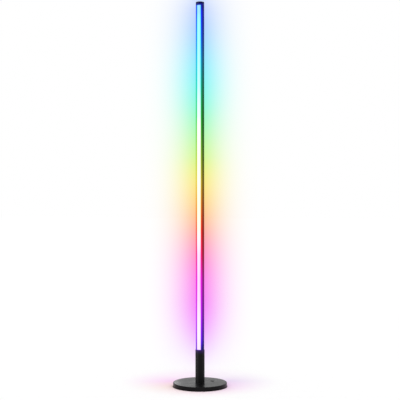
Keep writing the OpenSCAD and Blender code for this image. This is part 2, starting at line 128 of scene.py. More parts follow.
def make_room():
    room = bpy.data.worlds.new("white_room")
    bpy.context.scene.world = room
    room.use_nodes = True
    tree = room.node_tree
    tree.nodes.clear()
    seen = add_node(tree, "Background", Color=WHITE, Strength=1.0)
    lit = add_node(tree, "Background", Color=WHITE, Strength=ROOM_LIGHT)
    ray = add_node(tree, "LightPath").outputs
    camera_or_gloss = sums(tree, "MAXIMUM", ray["Is Camera Ray"], ray["Is Glossy Ray"])
    sees_room = sums(tree, "MAXIMUM", camera_or_gloss, ray["Is Transmission Ray"])
    mix = add_node(tree, "MixShader")
    join(tree, sees_room, mix.inputs[0])
    join(tree, lit.outputs[0], mix.inputs[1])
    join(tree, seen.outputs[0], mix.inputs[2])
    join(tree, mix.outputs[0], add_node(tree, "OutputWorld").inputs[0])


make_room()
print("room light", ROOM_LIGHT)

# %% The softboxes
TUBES = ("stem_tube", "pole_lower", "pole_middle", "pole_upper", "light_cover", "end_cap")
ON_THE_POLE = (0, 0, 1.0)
ON_THE_BASE = (-0.05, 0, 0)


def softbox(name, place, aim, size, brightness, only=()):
    """A bright rectangle that shiny surfaces see. White paper has a brightness of 1."""
    light = bpy.data.lights.new(name, "AREA")
    light.shape = "RECTANGLE"
    light.size, light.size_y = size
    light.energy = brightness * math.pi * size[0] * size[1]
    box = bpy.data.objects.new(name, light)
    box.location = place
    box.rotation_euler = (Vector(aim) - Vector(place)).to_track_quat("-Z", "Y").to_euler()
    box.visible_camera = False
    box.visible_diffuse = False
    if only:
        receivers = bpy.data.collections.new(name + "_shines_on")
        for node in only:
            receivers.objects.link(nodes[node])
        box.light_linking.receiver_collection = receivers
    bpy.context.scene.collection.objects.link(box)
    print(name, "is", size[0], "by", size[1], "m and", brightness, "times as bright as paper")


softbox("softbox_left", (-1.86, -1.67, 1.0), ON_THE_POLE, (1.0, 2.0), 12, only=TUBES)
softbox("softbox_right", (2.5, 0.05, 1.0), ON_THE_POLE, (0.5, 2.0), 5, only=TUBES)
softbox("softbox_low", (-0.36, 0.5, 0.11), ON_THE_BASE, (0.2, 0.12), 1.3)

# %% [markdown]
# ## A finish starts with a plain surface
# A real finish is never one flat colour. `finish` makes the surface and `dress` puts it on.
# `grain` gives a field of soft noise that reads the lamp's own coordinates in metres, so it
# has the same size on every piece. Stretching it along the pole turns it into drawing
# lines. Such a field can raise the surface, or let its gloss or its colour drift a little.


# %% A surface, and how it is put on
def finish(name, colour, gloss_loss, shine=0.5, metal=0.0):
    """A new surface: its colour, its roughness, how strongly it mirrors, and how metallic it is."""
    material = bpy.data.materials.new(name)
    material.use_nodes = True
    tree = material.node_tree
    surface = tree.nodes["Principled BSDF"]
    surface.inputs["Base Color"].default_value = (*colour, 1)
    surface.inputs["Roughness"].default_value = gloss_loss
    surface.inputs["Specular IOR Level"].default_value = shine
    surface.inputs["Metallic"].default_value = metal
    return material, tree, surface


def dress(material, *names):
    """Puts a finish on solids of the frame."""
    for name in names:
        mesh = nodes[name].data
        mesh.materials.clear()
        mesh.materials.append(material)
    print(material.name, "on", ", ".join(names))


# %% Soft noise
MM = 0.001  # lengths are in metres, so one millimetre is this much


def lamp_metres(tree):
    """The place on the lamp, in metres."""
    return add_node(tree, "TexCoord").outputs["Object"]


def grain(tree, size, detail, stretch=(1, 1, 1)):
    """Soft noise whose grains are about `size` metres across, made longer by stretch."""
    mapping = add_node(tree, "Mapping", Scale=tuple(1 / s for s in stretch))
    join(tree, lamp_metres(tree), mapping.inputs["Vector"])
    noise = add_node(tree, "TexNoise", Scale=1 / size, Detail=detail, Roughness=0.55)
    join(tree, mapping.outputs[0], noise.inputs["Vector"])
    return noise.outputs["Fac"]


# %% Fade and blend
def fade(tree, value, start, end, at_start=0.0, at_end=1.0):
    """Turns a value between start and end into a smooth fade between two levels."""
    levels = {"From_Min": start, "From_Max": end, "To_Min": at_start, "To_Max": at_end}
    node = add_node(tree, "MapRange", **levels)
    node.interpolation_type = "SMOOTHSTEP"
    join(tree, value, node.inputs["Value"])
    return node.outputs["Result"]


def blend(tree, share, first, second, kind="MIX"):
    """Mixes two colours; each may be a socket or three numbers."""
    node = add_node(tree, "MixRGB")
    node.blend_type = kind
    for value, target in zip((share, first, second), node.inputs):
        join(tree, value, target)
    return node.outputs[0]


# %% What a field of noise does to a surface
NOISE_SPAN = (0.3, 0.7)  # soft noise seldom leaves these two levels


def relief(tree, surface, height, depth, strength):
    """Raises and sinks the surface by `depth` metres where the height field says."""
    bump = add_node(tree, "Bump", Strength=strength, Distance=depth)
    join(tree, height, bump.inputs["Height"])
    join(tree, bump.outputs[0], surface.inputs["Normal"])


def vary_gloss(tree, surface, field, low, high):
    """Lets the roughness drift between two levels with a field."""
    join(tree, fade(tree, field, *NOISE_SPAN, low, high), surface.inputs["Roughness"])


def tint(tree, surface, field, dark, pale):
    """Lets the colour drift between two shades with a field."""
    shade = blend(tree, fade(tree, field, *NOISE_SPAN), dark, pale)
    join(tree, shade, surface.inputs["Base Color"])


# %% [markdown]
# ## Satin black powder coat
# The base cover and the stem are steel, sprayed with dry paint that melts in an oven. It
# flows out almost flat but keeps a faint peel, like orange skin, a millimetre across, with a
# finer grain on top. Peel is height and not colour, so it belongs in the bump, and the gloss
# drifts a little where the coat is thicker.


# %% Powder coat
def powder_coat(name, gloss_loss):
    material, tree, surface = finish(name, (0.0045, 0.0043, 0.0047), gloss_loss, shine=0.1)
    peel = grain(tree, 1.3 * MM, 2.0)
    sand = grain(tree, 0.3 * MM, 2.0)
    height = sums(tree, "ADD", peel, sums(tree, "MULTIPLY", sand, 0.4))
    relief(tree, surface, height, depth=0.06 * MM, strength=0.6)
    thickness = grain(tree, 30 * MM, 4.0)
    vary_gloss(tree, surface, thickness, gloss_loss - 0.03, gloss_loss + 0.04)
    clouds = grain(tree, 12 * MM, 5.0)
    tint(tree, surface, clouds, (0.0038, 0.0036, 0.0041), (0.0056, 0.0054, 0.0058))
    return material


dress(powder_coat("semi_gloss_black_powder_coat", gloss_loss=0.29), "base_cover")

# %% [markdown]
# ## The colours of the light
# The strip runs through a rainbow from deep blue at the top, by green, yellow and red, to
# violet at the foot. Each colour has a name and a height here, then its code of 0 to 255 on
# the strip, and the share of red, green and blue that its painted haze lets through. A colour
# ramp blends from one to the next, as the lamp's own chips do.

# %% Name the colours by height
RAINBOW = [
    ("violet", 0.145, (112, 14, 228), (0.69, 0.205, 1)),
    ("orchid", 0.18, (164, 16, 244), (0.78, 0.195, 1)),
    ("purple", 0.26, (206, 12, 244), (0.88, 0.195, 1)),
    ("magenta", 0.4, (236, 12, 226), (1, 0.185, 0.78)),
    ("rose", 0.49, (244, 38, 152), (1, 0.225, 0.5)),
    ("coral", 0.58, (245, 98, 68), (1, 0.36, 0.27)),
    ("amber", 0.67, (246, 176, 50), (1, 0.58, 0.195)),
    ("yellow", 0.76, (243, 224, 68), (1, 0.81, 0.18)),
    ("lime", 0.85, (204, 231, 64), (0.59, 0.95, 0.185)),
    ("green", 1.0, (64, 233, 108), (0.23, 0.98, 0.51)),
    ("sea green", 1.11, (12, 228, 196), (0.19, 0.93, 0.9)),
    ("cyan", 1.2, (0, 207, 236), (0.19, 0.805, 1)),
    ("azure", 1.29, (0, 146, 248), (0.19, 0.51, 1)),
    ("deep blue", 1.385, (0, 72, 248), (0.11, 0.23, 1)),
]
print("rainbow of", len(RAINBOW), "named colours")

# %% Blend from one to the next
RAMP_MARGIN = 0.01


def light_level(code):
    """A colour code of 0 to 255, as linear light."""
    share = code / 255
    return share / 12.92 if share <= 0.04045 else ((share + 0.055) / 1.055) ** 2.4


def ramp(tree, value, stops, softness="LINEAR"):
    """Blends from stop to stop as the value grows. A stop is a place and a linear colour."""
    low = stops[0][0] - RAMP_MARGIN
    high = stops[-1][0] + RAMP_MARGIN
    node = add_node(tree, "ValToRGB")
    node.color_ramp.interpolation = softness
    elements = node.color_ramp.elements
    while len(elements) < len(stops):
        elements.new(0.5)
    for element, (place, colour) in zip(elements, stops):
        element.position = (place - low) / (high - low)
        element.color = (*colour, 1)
    share = add_node(tree, "MapRange", From_Min=low, From_Max=high)
    join(tree, value, share.inputs["Value"])
    join(tree, share.outputs["Result"], node.inputs["Fac"])
    return node.outputs["Color"]


def level_by(tree, value, steps):
    """Blends from level to level as the value grows. A step is a place and a level."""
    return ramp(tree, value, [(place, (level,) * 3) for place, level in steps])


def rainbow(tree, height):
    """The strip's colour at a height."""
    stops = [(metres, [light_level(code) for code in codes]) for _, metres, codes, _ in RAINBOW]
    return ramp(tree, height, stops)


# %% [markdown]
# ## Round the pole
# Everything about the glow depends on two things only: the height above the floor, and the
# angle round the pole from the middle of the strip. The strip shines a little more to its
# left than to its right, so the fading is measured from a few degrees left of the middle.
# Beside the strip the colour deepens, which is done by multiplying it by itself. This deep
# colour lights the cover's flanks, and is also painted as a glow on the pole's black skin.
# The greener it is, the brighter it looks, so green gets the least power there. Both ends
# are dimmer.


# %% Where a spot lies
def split(tree, vector):
    """The X, Y and Z of a vector, each as a socket of its own."""
    node = add_node(tree, "SeparateXYZ")
    join(tree, vector, node.inputs[0])
    return node.outputs


def degrees_from_front(tree, x, y):
    """The angle from the front, which is -Y, in degrees: more than 0 to the right."""
    turn = sums(tree, "ARCTAN2", x, sums(tree, "MULTIPLY", y, -1))
    return sums(tree, "MULTIPLY", turn, math.degrees(1))


def round_the_pole(tree):
    """Height above the floor, and the angle from the front of the pole in degrees."""
    x, y, z = split(tree, lamp_metres(tree))
    return z, degrees_from_front(tree, x, y)


# %% Light beside the strip
GLOW_LEAN = 10  # degrees to the left
STEM_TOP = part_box("stem_tube")[1].z
STRIP_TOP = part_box("light_cover")[1].z
DIM_END = 32 * MM
DIMMED = 0.4
SIDE_POWER = 1.75
LESS_FOR_GREEN = 1.15
# Degrees from the bright side, and how much light is left there.
FADING = [(34, 1.0), (48, 0.68), (56, 0.42), (65, 0.3), (85, 0.18), (98, 0.08), (120, 0.0)]


def times(tree, first, second):
    """Multiplies two colours, as two filters in a row do."""
    return blend(tree, 1.0, first, second, "MULTIPLY")


def side_light(tree, height, degrees):
    """The strip's pure colour, the deep one beside it, and the angle from its bright side."""
    pure = rainbow(tree, height)
    aside = sums(tree, "ABSOLUTE", sums(tree, "ADD", degrees, GLOW_LEAN))
    channels = add_node(tree, "SeparateColor")
    join(tree, pure, channels.inputs[0])
    less = sums(tree, "MULTIPLY", channels.outputs["Green"], LESS_FOR_GREEN)
    power = sums(tree, "SUBTRACT", SIDE_POWER, less)
    low_end = fade(tree, height, STEM_TOP, STEM_TOP + DIM_END, DIMMED, 1)
    top_end = fade(tree, height, STRIP_TOP - DIM_END, STRIP_TOP, 1, DIMMED)
    power = sums(tree, "MULTIPLY", sums(tree, "MULTIPLY", power, low_end), top_end)
    deep = add_node(tree, "VectorMath")
    deep.operation = "SCALE"
    fading = level_by(tree, aside, FADING)
    join(tree, times(tree, times(tree, pure, pure), fading), deep.inputs[0])
    join(tree, power, deep.inputs["Scale"])
    return pure, deep.outputs[0], aside


print("lit from", round(STEM_TOP / MM), "to", round(STRIP_TOP / MM), "mm above the floor")

# %% [markdown]
# ## Opal light cover
# The cover is milky silicone, lit from behind by small chips on a strip 12 mm wide. Face on
# it is far brighter than paper white, so every colour channel is nearly full there. Away
# from the middle the light crosses more silicone: the pure colour shows, then a deeper one.
# A camera makes that white core by clipping, and three nodes do the same: invert the
# colour, raise it to a high power, and invert it back.

# %% Opal cover
OVEREXPOSED = 18  # the high power
END_FADE = 3 * MM
CORE_EDGE = (25, 31)  # degrees from the middle, as are the next two
MILKY_EDGE = (6, 32)
DEEP_EDGE = (32, 47)
WIDE_AT, NORMAL_AT, WIDER = 0.22, 0.4, 1.5  # low down the white spreads wider
# Metres above the floor, and how white the core is there.
MILKY = [(0.14, 0.84), (0.19, 0.92), (0.24, 0.88), (0.32, 0.74), (0.95, 0.74), (1.3, 0.42)]


def invert(tree, colour):
    """What a colour lacks to be white."""
    return blend(tree, 1.0, (1, 1, 1), colour, "DIFFERENCE")


def opal_glow():
    material, tree, surface = finish("opal_silicone_lit", (0.012, 0.012, 0.013), 0.34, shine=0.03)
    height, degrees = round_the_pole(tree)
    pure, deep, aside = side_light(tree, height, degrees)
    flank = blend(tree, fade(tree, aside, *DEEP_EDGE), pure, deep)
    clipped = add_node(tree, "Gamma", Gamma=OVEREXPOSED)
    join(tree, invert(tree, pure), clipped.inputs["Color"])
    bright = invert(tree, clipped.outputs[0])
    from_middle = sums(tree, "ABSOLUTE", degrees)
    spread = sums(tree, "DIVIDE", from_middle, fade(tree, height, WIDE_AT, NORMAL_AT, WIDER, 1))
    in_milk = fade(tree, spread, *MILKY_EDGE, 1, 0)
    milkiness = sums(tree, "MULTIPLY", level_by(tree, height, MILKY), in_milk)
    core = blend(tree, milkiness, bright, (1, 1, 1))
    above_foot = fade(tree, height, STEM_TOP, STEM_TOP + END_FADE)
    below_tip = fade(tree, height, STRIP_TOP - END_FADE, STRIP_TOP, 1, 0)
    between_ends = sums(tree, "MULTIPLY", above_foot, below_tip)
    in_core = sums(tree, "MULTIPLY", fade(tree, from_middle, *CORE_EDGE, 1, 0), between_ends)
    join(tree, blend(tree, in_core, flank, core), surface.inputs["Emission Color"])
    surface.inputs["Emission Strength"].default_value = 1.0
    relief(tree, surface, grain(tree, 0.6 * MM, 2.0), depth=0.01 * MM, strength=0.3)
    return material


dress(opal_glow(), "light_cover")

# %% [markdown]
# ## Black anodised pole
# The pole is aluminium pushed through a die, so its skin carries fine straight lines along
# its whole length, and the black dye keeps them visible. The grain is stretched a
# hundredfold upwards to draw them. Next to the strip a glow of its coloured light is painted
# on the satin skin, and dies away towards the back. Where one length of pole stands on the
# next there is a hairline, which takes none of the painted glow and breaks the shine.

# %% Anodised pole
HAIRLINE = 0.12 * MM
HAIRLINE_SINKS = 9  # times as deep as the lines
HAIRLINE_DULLS = 4


def hairlines(tree, height):
    """1 at the two heights where the lengths of pole meet, and 0 elsewhere."""
    total = 0
    for upper_length in ("pole_middle", "pole_upper"):
        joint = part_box(upper_length)[0].z
        away = sums(tree, "ABSOLUTE", sums(tree, "SUBTRACT", height, joint))
        total = sums(tree, "ADD", sums(tree, "LESS_THAN", away, HAIRLINE), total)
    return total


def anodised():
    material, tree, surface = finish(
        "black_anodised_aluminium_with_painted_glow", (0.005, 0.005, 0.006), 0.38, shine=0.05
    )
    height, degrees = round_the_pole(tree)
    hairline = hairlines(tree, height)
    lines = grain(tree, 0.25 * MM, 2.0, stretch=(1, 1, 100))
    sunk = sums(tree, "SUBTRACT", lines, sums(tree, "MULTIPLY", hairline, HAIRLINE_SINKS))
    relief(tree, surface, sunk, depth=0.01 * MM, strength=0.6)
    satin = grain(tree, 0.8 * MM, 3.0, stretch=(1, 1, 60))
    satin = sums(tree, "ADD", satin, sums(tree, "MULTIPLY", hairline, HAIRLINE_DULLS))
    vary_gloss(tree, surface, satin, 0.32, 0.4)
    # painted glow: the strip's deep colour as emission on the pole's skin, off at the hairlines
    join(tree, side_light(tree, height, degrees)[1], surface.inputs["Emission Color"])
    join(tree, sums(tree, "SUBTRACT", 1, hairline), surface.inputs["Emission Strength"])
    return material


dress(anodised(), "pole_lower", "pole_middle", "pole_upper")

# %% [markdown]
# ## The stem and the cap at the strip's two ends
# The stem has the base's paint, a little less glossy. The end cap is moulded plastic, and
# gets its finish further on. Each meets one end of the strip, and a little of its light is
# painted on there as a glow: violet on the stem's rim, deep blue on the cap. The painted
# light dies away within a finger's width, and faces the front.

# %% Painted light that creeps over the two ends
CREEP_FALL = 1.6
CREEP_EDGE = (50, 125)  # degrees from the front
STEM_CREEP = 20 * MM


def painted_creeping_light(material, colour, start, end, strength):
    """Paints a glow on a finish from one height on, fading out at another, on the front of the
    pole.
    """
    tree = material.node_tree
    surface = tree.nodes["Principled BSDF"]
    height, degrees = round_the_pole(tree)
    near = sums(tree, "POWER", fade(tree, height, start, end, 1, 0), CREEP_FALL)
    facing = fade(tree, sums(tree, "ABSOLUTE", degrees), *CREEP_EDGE, strength, 0)
    surface.inputs["Emission Color"].default_value = (*colour, 1)
    join(tree, sums(tree, "MULTIPLY", near, facing), surface.inputs["Emission Strength"])


stem_coat_and_painted_glow = powder_coat("satin_black_powder_coat_with_painted_glow", gloss_loss=0.38)
# painted violet glow on the stem's rim, below the strip
painted_creeping_light(stem_coat_and_painted_glow, (0.3, 0.06, 1), STEM_TOP, STEM_TOP - STEM_CREEP, strength=0.08)
dress(stem_coat_and_painted_glow, "stem_tube")

# %% [markdown]
# ## The glow in the air
# A lit strip seems to stand in a coloured haze, and that glow is painted here. On a white
# ground added light can't show, so the painted haze must take light away, like stained glass
# in front of the white behind it. One sheet would vanish when seen edge on. Two sheets cross
# on the pole's axis instead, half a right angle to either side of the camera, and each
# filters by half, so the haze shows from all round. It belongs to the stage, only the camera
# sees it, and it casts no shadow.

# %% Measure from the axis
def length(tree, vector):
    """How long a vector is."""
    node = add_node(tree, "VectorMath")
    node.operation = "LENGTH"
    join(tree, vector, node.inputs[0])
    return node.outputs["Value"]


def from_axis(tree):
    """The distance from the lamp's upright axis, in metres."""
    x, y, _ = split(tree, lamp_metres(tree))
    level = add_node(tree, "CombineXYZ")
    join(tree, x, level.inputs["X"])
    join(tree, y, level.inputs["Y"])
    return length(tree, level.outputs[0])


# %% Mix the haze
GLOW_REACH = 0.26
GLOW_FALL = 3.6
GLOW_FOOT, GLOW_TIP = 0.02, 1.58
FULL_FROM, FULL_TO = 0.33, 1.1
SLANT = 45
SHEETS = (-SLANT, SLANT)
SHEET_HALF = GLOW_REACH / math.cos(math.radians(SLANT))  # spans the reach, seen at a slant


def empty_material(name):
    """A material whose tree of nodes is still bare."""
    material = bpy.data.materials.new(name)
    material.use_nodes = True
    material.node_tree.nodes.clear()
    return material, material.node_tree


# painted glow: a coloured filter that stands in for the strip's halo
def haze():
    material, tree = empty_material("painted_glow_haze")
    _, _, height = split(tree, lamp_metres(tree))
    left_over = sums(tree, "SUBTRACT", 1, sums(tree, "DIVIDE", from_axis(tree), SHEET_HALF))
    fading = sums(tree, "POWER", sums(tree, "MAXIMUM", left_over, 0), GLOW_FALL)
    low_end = fade(tree, height, GLOW_FOOT, FULL_FROM)
    top_end = fade(tree, height, FULL_TO, GLOW_TIP, 1, 0)
    ends = sums(tree, "MULTIPLY", top_end, low_end)
    per_sheet = sums(tree, "DIVIDE", sums(tree, "MULTIPLY", fading, ends), len(SHEETS))
    stops = [(metres, share) for _, metres, _, share in RAINBOW]
    filtered = add_node(tree, "Gamma")
    join(tree, ramp(tree, height, stops, "B_SPLINE"), filtered.inputs["Color"])
    join(tree, per_sheet, filtered.inputs["Gamma"])
    clear = add_node(tree, "BsdfTransparent")
    join(tree, filtered.outputs[0], clear.inputs["Color"])
    join(tree, clear.outputs[0], add_node(tree, "OutputMaterial").inputs[0])
    return material


# %% Hang the glow sheets
def hang_glow(name, turn, material):
    """One upright sheet through the pole's axis, which only the camera sees."""
    along = Vector((math.cos(turn), math.sin(turn), 0)) * SHEET_HALF
    foot, tip = Vector((0, 0, GLOW_FOOT)), Vector((0, 0, GLOW_TIP))
    mesh = bpy.data.meshes.new(name)
    corners = [foot - along, foot + along, tip + along, tip - along]
    mesh.from_pydata(corners, [], [(0, 1, 2, 3)])
    mesh.materials.append(material)
    sheet = bpy.data.objects.new(name, mesh)
    bpy.context.scene.collection.objects.link(sheet)
    for ray in ("diffuse", "glossy", "transmission", "volume_scatter", "shadow"):
        setattr(sheet, "visible_" + ray, False)


painted_glow_haze = haze()
for i, slant in enumerate(SHEETS, 1):
    hang_glow(f"glow_sheet_{i}", CAMERA_TURN + math.radians(slant), painted_glow_haze)
print("glow reaches", round(GLOW_REACH / MM), "mm from the pole's axis, in", len(SHEETS), "sheets")

# %% [markdown]
# ## The floor
# A pale floor keeps the lamp's soft contact shadow and melts into the white room further
# out. A pool of the strip's light is painted on it, warm in front on the left and violet on
# the right, round a middle at the base's rear rim. As in the haze, the painted pool takes
# light away: each stop says how much red, green and blue it takes in that direction. The gap
# of two millimetres under the base's edge is nearly dark, which makes the base look seated,
# so a painted shadow makes the paint dark under the base, clearing within three millimetres
# outside it.

# %% Paint the pool of light and the shadow on the floor
CONTACT_SHADE = 0.05
CONTACT_REACH = 3 * MM
BASE_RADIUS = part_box("base_cover")[1].x
POOL_MIDDLE = (-0.031, 0.095, 0.0)
POOL_FULL, POOL_END = 0.06, 0.32
POOL = [  # degrees from the front, and the red, green and blue taken away
    (-162, (0.02, 0.15, 0.03)),
    (-117, (0.01, 0.16, 0.03)),
    (-72, (0.02, 0.32, 0.06)),
    (-27, (0.01, 0.26, 0.29)),
    (18, (0.02, 0.42, 0.27)),
    (63, (0.02, 0.32, 0.04)),
    (108, (0.16, 0.3, 0.09)),
    (153, (0.05, 0.13, 0.03)),
    (198, (0.02, 0.15, 0.03)),
]


def floor_painted_light_and_shadow(tree):
    """The colour of the floor's paint: white, less a painted pool of light and a painted contact
    shadow.
    """
    from_middle = add_node(tree, "VectorMath")
    from_middle.operation = "SUBTRACT"
    from_middle.inputs[1].default_value = POOL_MIDDLE
    join(tree, lamp_metres(tree), from_middle.inputs[0])
    x, y, _ = split(tree, from_middle.outputs[0])
    # painted pool of the strip's light, by direction round its middle
    pooled = ramp(tree, degrees_from_front(tree, x, y), POOL)
    away = length(tree, from_middle.outputs[0])
    tinted = invert(tree, times(tree, pooled, fade(tree, away, POOL_FULL, POOL_END, 1, 0)))
    # painted contact shadow, dark under the base's edge
    clear_at = BASE_RADIUS + CONTACT_REACH
    contact = fade(tree, from_axis(tree), BASE_RADIUS, clear_at, CONTACT_SHADE, 1)
    return times(tree, tinted, contact)


# %% Lay the floor
FLOOR_SIZE = 60.0
FLOOR_PAINT = 0.9
FLOOR_LIFT = 0.11  # a little light of its own, to meet the white room
FLOOR_DROP = 0.1 * MM


def floor_paint():
    material, tree = empty_material("pale_floor")
    tinted = floor_painted_light_and_shadow(tree)
    paint = add_node(tree, "BsdfDiffuse")
    join(tree, times(tree, tinted, (FLOOR_PAINT,) * 3), paint.inputs["Color"])
    lift = add_node(tree, "Emission")
    join(tree, tinted, lift.inputs["Color"])
    ray = add_node(tree, "LightPath").outputs
    seen = sums(tree, "MAXIMUM", ray["Is Camera Ray"], ray["Is Glossy Ray"])
    join(tree, sums(tree, "MULTIPLY", seen, FLOOR_LIFT), lift.inputs["Strength"])
    both = add_node(tree, "AddShader")
    join(tree, paint.outputs[0], both.inputs[0])
    join(tree, lift.outputs[0], both.inputs[1])
    join(tree, both.outputs[0], add_node(tree, "OutputMaterial").inputs[0])
    return material


def make_floor():
    half = FLOOR_SIZE / 2
    mesh = bpy.data.meshes.new("floor")
    corners = [(-half, -half), (half, -half), (half, half), (-half, half)]
    mesh.from_pydata([(x, y, -FLOOR_DROP) for x, y in corners], [], [(0, 1, 2, 3)])
    mesh.materials.append(floor_paint())
    floor = bpy.data.objects.new("floor", mesh)
    bpy.context.scene.collection.objects.link(floor)


make_floor()
print("floor", FLOOR_SIZE, "m wide")

# %% [markdown]
# ## Moulded black plastics
# The end cap, the button and the inlet are moulded. A mould is spark-eroded on the faces
# that should look satin, which leaves a very fine pebble. The distance to scattered points
# draws it well, as a round pit at each. The cap is a little glossier than the button
# because nobody touches it.

# %% Moulded plastics
CAP_CREEP = 13.5 * MM


def pores(tree, size):
    """Distance to the nearest of many scattered points, about `size` metres apart."""
    cells = add_node(tree, "TexVoronoi", Scale=1 / size)
    join(tree, lamp_metres(tree), cells.inputs["Vector"])
    return cells.outputs["Distance"]


def moulded(name, colour, gloss_loss, pebble, shine=0.3):
    material, tree, surface = finish(name, colour, gloss_loss, shine)
    relief(tree, surface, pores(tree, pebble), depth=pebble / 12, strength=0.35)
    wear = grain(tree, 6 * MM, 3.0)
    vary_gloss(tree, surface, wear, gloss_loss - 0.04, gloss_loss + 0.05)
    return material


cap_plastic = moulded("satin_black_cap_plastic_with_painted_glow", (0.003, 0.003, 0.005), 0.3, 0.3 * MM, shine=0.05)
# painted deep blue glow on the cap's foot, next to the strip
painted_creeping_light(cap_plastic, (0.02, 0.03, 1), STRIP_TOP, STRIP_TOP + CAP_CREEP, strength=0.28)
dress(cap_plastic, "end_cap")
inlet_plastic = moulded("black_inlet_plastic", (0.012, 0.012, 0.013), 0.42, 0.25 * MM)
dress(inlet_plastic, "dc_inlet", "cover_grommet")
switch_plastic = moulded("black_switch_plastic", (0.014, 0.014, 0.015), 0.36, 0.2 * MM)
dress(switch_plastic, "switch_housing")
button_plastic = moulded("satin_button_plastic", (0.013, 0.013, 0.014), 0.45, 0.25 * MM)
bezel_plastic = moulded("gloss_bezel_plastic", (0.006, 0.006, 0.007), 0.22, 0.4 * MM)

# %% [markdown]
# ## Foam ring under the base
# The lamp stands on a ring cut from closed-cell foam sheet. Its cut edge and its face show
# tiny open pores, again drawn by scattered points, but wider and much deeper than the
# pebble. The sheet is never quite even in colour.


# %% Foam ring
def foam():
    material, tree, surface = finish("black_foam_rubber", (0.02, 0.02, 0.02), 0.88, shine=0.2)
    holes = sums(tree, "POWER", pores(tree, 0.7 * MM), 0.6)
    relief(tree, surface, holes, depth=0.25 * MM, strength=0.9)
    tint(tree, surface, grain(tree, 4 * MM, 5.0), (0.014, 0.014, 0.0145), (0.03, 0.03, 0.03))
    return material


dress(foam(), "floor_pad")

# %% [markdown]
# ## Plated steel and brass
# The plain screws, the spacers and the bolt are zinc plated: a bright skin with faint blue
# and yellow clouds, which a colour that drifts with soft noise gives. The pin of the inlet
# is plated brass, and takes the same finish in other colours.


# %% Zinc and brass
def plated(name, dark, pale, gloss_loss):
    material, tree, surface = finish(name, pale, gloss_loss, metal=1.0)
    tint(tree, surface, grain(tree, 2.5 * MM, 4.0), dark, pale)
    haziness = grain(tree, 1.2 * MM, 4.0)
    vary_gloss(tree, surface, haziness, gloss_loss - 0.08, gloss_loss + 0.12)
    relief(tree, surface, grain(tree, 0.3 * MM, 3.0), depth=0.01 * MM, strength=0.4)
    return material


zinc = plated("zinc_plated_steel", (0.46, 0.48, 0.52), (0.62, 0.6, 0.55), gloss_loss=0.3)
dress(zinc, "plate_screws", "board_spacers", "board_screws")
brass = plated("plated_brass_pin", (0.7, 0.52, 0.22), (0.85, 0.68, 0.36), gloss_loss=0.2)
dress(brass, "dc_pin")

# %% [markdown]
# ## Bare metals and sheet paint
# The bars inside the pole are aluminium as it leaves the die, with lines all along. The plug
# in the stem and its washer are turned on a lathe, so their lines are rings, and the sine of
# the distance from the axis draws them. The weight is cast iron with the pebbled skin that
# sand leaves behind. The bottom plate has thin matt paint with fine scuffs from handling.


# %% Aluminium bars
def drawn_metal(name, colour, gloss_loss, line):
    """Metal with straight lines along the pole, from a die or a saw."""
    material, tree, surface = finish(name, colour, gloss_loss, metal=1.0)
    lines = grain(tree, line, 2.0, stretch=(1, 1, 80))
    relief(tree, surface, lines, depth=0.02 * MM, strength=0.6)
    streaks = grain(tree, 4 * MM, 3.0, stretch=(1, 1, 20))
    vary_gloss(tree, surface, streaks, gloss_loss - 0.06, gloss_loss + 0.1)
    return material


aluminium = drawn_metal("mill_aluminium", (0.62, 0.63, 0.65), 0.38, 0.4 * MM)
dress(aluminium, "foot_bar", "joint_bar_lower", "joint_bar_upper")

# %% Turned steel
TOOL_PITCH = 0.3 * MM


def turned_steel():
    """Rings of a lathe tool, made from the distance to the lamp's axis."""
    material, tree, surface = finish("turned_steel", (0.42, 0.42, 0.43), 0.32, metal=1.0)
    turns = sums(tree, "MULTIPLY", from_axis(tree), math.tau / TOOL_PITCH)
    relief(tree, surface, sums(tree, "SINE", turns), depth=0.01 * MM, strength=0.5)
    return material


dress(turned_steel(), "stem_foot", "stem_washer")


# %% Cast iron
def cast_iron():
    material, tree, surface = finish("sand_cast_iron", (0.035, 0.035, 0.037), 0.7, 0.4, 0.35)
    hollows = sums(tree, "MULTIPLY", grain(tree, 6 * MM, 3.0), 0.8)
    pebbles = sums(tree, "ADD", grain(tree, 1.1 * MM, 4.0), hollows)
    relief(tree, surface, pebbles, depth=0.3 * MM, strength=0.8)
    clouds = grain(tree, 10 * MM, 5.0)
    tint(tree, surface, clouds, (0.026, 0.025, 0.026), (0.055, 0.05, 0.048))
    return material


dress(cast_iron(), "base_weight")


# %% Sheet paint
def sheet_paint():
    """Thin matt paint on the bottom plate, whose gloss changes along fine scuffs."""
    material, tree, surface = finish(
        "matt_black_sheet_paint", (0.018, 0.018, 0.019), 0.6, shine=0.3
    )
    scuffs = grain(tree, 0.4 * MM, 2.0, stretch=(30, 1, 1))
    relief(tree, surface, scuffs, depth=0.01 * MM, strength=0.5)
    vary_gloss(tree, surface, scuffs, 0.5, 0.68)
    clouds = grain(tree, 20 * MM, 5.0)
    tint(tree, surface, clouds, (0.014, 0.014, 0.015), (0.026, 0.026, 0.027))
    return material


dress(sheet_paint(), "bottom_plate")

# %% [markdown]
# ## What the pole holds
# Behind the cover a white flexible board carries the chips, one every 16.7 mm, with copper
# pads between them where the strip may be cut. The pads repeat with height, so a saw wave
# of the height, the remainder after dividing by the pitch, draws them. Each chip glows in a
# window down its middle.

# %% Light strip
CHIP_PITCH = 16.7 * MM
STRIP_HALF = 6 * MM
PAD_PITCH = 3 * MM
PAD_UP = (0.08, 0.2)  # shares of the chips' pitch
PAD_ACROSS = (0.25, 0.75)  # shares of the pads' own pitch


def saw(tree, value, pitch):
    """Runs from 0 to 1 again and again, once in each pitch."""
    return sums(tree, "FRACT", sums(tree, "DIVIDE", value, pitch))


def between(tree, value, low, high):
    """1 where the value lies between two limits, and 0 elsewhere."""
    over = sums(tree, "GREATER_THAN", value, low)
    return sums(tree, "MULTIPLY", over, sums(tree, "LESS_THAN", value, high))


